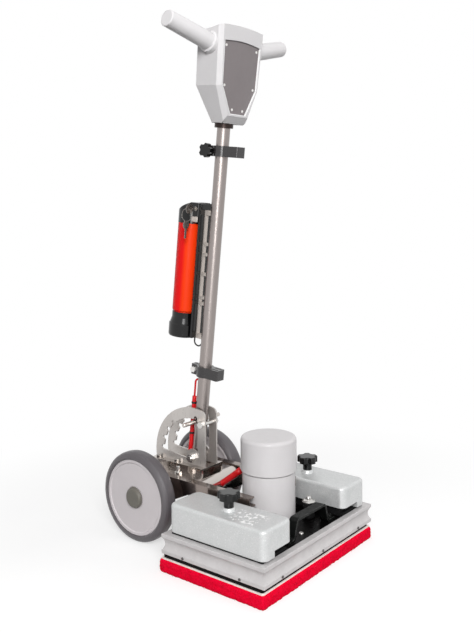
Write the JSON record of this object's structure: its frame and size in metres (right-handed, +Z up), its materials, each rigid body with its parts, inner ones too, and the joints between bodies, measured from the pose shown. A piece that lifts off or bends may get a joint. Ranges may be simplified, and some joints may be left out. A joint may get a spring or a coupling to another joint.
{
  "type": "orbital floor machine",
  "caption": "Walk-behind orbital floor scrubbing machine with a rectangular pad deck, ballast weights, upright motor, rear wheels, tilting mast, battery and two-grip control head.",
  "frame": {"origin": "centre of the scrub pad's working face, on the floor", "axes": "+Z up, -Y the front of the pad deck, +Y the wheels, +X the right side as seen from the front"},
  "size_m": [0.4312, 0.5439, 1.2092],
  "materials": {
    "pad_red": "open fibre",
    "hook_white": "matte",
    "black_plastic": "matte",
    "gloss_black": "gloss",
    "steel": "machined",
    "skirt_silver": "satin anodised",
    "deck_black": "satin",
    "weight_silver": "silver enamel",
    "black_rubber": "matte",
    "handle_dark": "satin",
    "stainless": "polished",
    "motor_grey": "gloss enamel",
    "tyre_grey": "matte",
    "disc_grey": "satin",
    "cap_olive": "satin",
    "tube_satin": "satin",
    "clamp_black": "satin",
    "rail_silver": "satin",
    "battery_red": "gloss lacquer",
    "head_grey": "satin",
    "panel_grey": "satin",
    "grip_grey": "soft satin",
    "cable_red": "satin",
    "key_steel": "polished"
  },
  "bodies": {
    "chassis": {"deck_plate": "deck_black", "skirt_frame": "skirt_silver", "skirt_screws": "steel", "deck_isolators": "black_rubber", "motor_body": "motor_grey", "motor_bearing": "steel", "motor_cap": "motor_grey", "weight_left": "weight_silver", "weight_right": "weight_silver", "weight_mats": "black_rubber", "deck_fasteners": "steel", "lift_handle": "handle_dark", "side_arm_left": "stainless", "side_arm_right": "stainless", "arm_isolators": "black_rubber", "cross_plate": "stainless", "mast_bracket": "stainless", "quadrant_left": "stainless", "quadrant_right": "stainless", "pivot_bolt": "steel", "chassis_bolts": "steel", "axle": "steel", "axle_bushes": "black_plastic", "motor_cable": "cable_red"},
    "wheel_left": {"wheel_disc_left": "disc_grey", "tyre_left": "tyre_grey", "hub_cap_left": "cap_olive"},
    "wheel_right": {"wheel_disc_right": "disc_grey", "tyre_right": "tyre_grey", "hub_cap_right": "cap_olive"},
    "drive": {"eccentric_shaft": "steel", "counterweight": "steel"},
    "pad_head": {"pad_driver": "black_plastic", "driver_bearing": "steel", "hook_plate": "hook_white", "scrub_pad": "pad_red"},
    "mast": {"mast_tube": "tube_satin", "lower_clamp": "clamp_black", "upper_clamp": "clamp_black", "mast_screws": "steel", "battery_rail": "rail_silver", "battery_dock": "black_plastic", "mast_leads": "black_rubber", "mast_cable": "cable_red", "head_housing": "head_grey", "head_cover": "head_grey", "head_panel": "panel_grey", "grip_left": "grip_grey", "grip_right": "grip_grey"},
    "lock": {"lock_bar": "stainless"},
    "upper_knob": {"clamp_knob": "gloss_black"},
    "left_knob": {"weight_knob_left": "gloss_black"},
    "right_knob": {"weight_knob_right": "gloss_black"},
    "battery": {"battery_can": "battery_red", "battery_cap": "black_plastic"},
    "key": {"battery_key": "key_steel"},
    "spare_key": {"key_ring": "key_steel"},
    "switch": {"switch_rocker": "gloss_black"}
  },
  "joints": [
    {"name": "wheel_left_spin", "type": "hinge", "parent": "chassis", "child": "wheel_left", "pos_m": [-0.127, 0.2926, 0.1075], "axis": [1, 0, 0], "continuous": true},
    {"name": "wheel_right_spin", "type": "hinge", "parent": "chassis", "child": "wheel_right", "pos_m": [0.127, 0.2926, 0.1075], "axis": [1, 0, 0], "continuous": true},
    {"name": "drive_spin", "type": "hinge", "parent": "chassis", "child": "drive", "pos_m": [0, 0.0023, 0.09], "axis": [0, 0, 1], "continuous": true},
    {"name": "pad_orbit", "type": "hinge", "parent": "drive", "child": "pad_head", "pos_m": [0, 0.0055, 0.045], "axis": [0, 0, 1], "continuous": true},
    {"name": "mast_tilt", "type": "hinge", "parent": "chassis", "child": "mast", "pos_m": [0, 0.2148, 0.188], "axis": [-1, 0, 0], "range_deg": [0, 91]},
    {"name": "lock_bar_slide", "type": "slide", "parent": "mast", "child": "lock", "axis": [0, -0.1122, 0.9937], "range_m": [0, 0.0082]},
    {"name": "clamp_knob_turn", "type": "hinge", "parent": "mast", "child": "upper_knob", "pos_m": [-0.025, 0.15946, 0.92796], "axis": [1, 0, 0], "continuous": true},
    {"name": "weight_knob_left_turn", "type": "hinge", "parent": "chassis", "child": "left_knob", "pos_m": [-0.1515, -0.0032, 0.17], "axis": [0, 0, 1], "continuous": true},
    {"name": "weight_knob_right_turn", "type": "hinge", "parent": "chassis", "child": "right_knob", "pos_m": [0.1515, -0.0032, 0.17], "axis": [0, 0, 1], "continuous": true},
    {"name": "battery_slide", "type": "slide", "parent": "mast", "child": "battery", "axis": [0, -0.1122, 0.9937], "range_m": [0, 0.06]},
    {"name": "key_turn", "type": "hinge", "parent": "battery", "child": "key", "pos_m": [-0.04, 0.19547, 0.79164], "axis": [1, 0, 0], "range_deg": [0, 45]},
    {"name": "key_ring_swing", "type": "hinge", "parent": "key", "child": "spare_key", "pos_m": [-0.053, 0.19547, 0.79164], "axis": [1, 0, 0], "range_deg": [-30, 30]},
    {"name": "switch_rock", "type": "hinge", "parent": "mast", "child": "switch", "pos_m": [0, 0.13434, 1.11482], "axis": [1, 0, 0], "range_deg": [0, 16]}
  ],
  "couplings": [
    {"joint": "pad_orbit", "follows": "drive_spin", "ratio": -1}
  ]
}
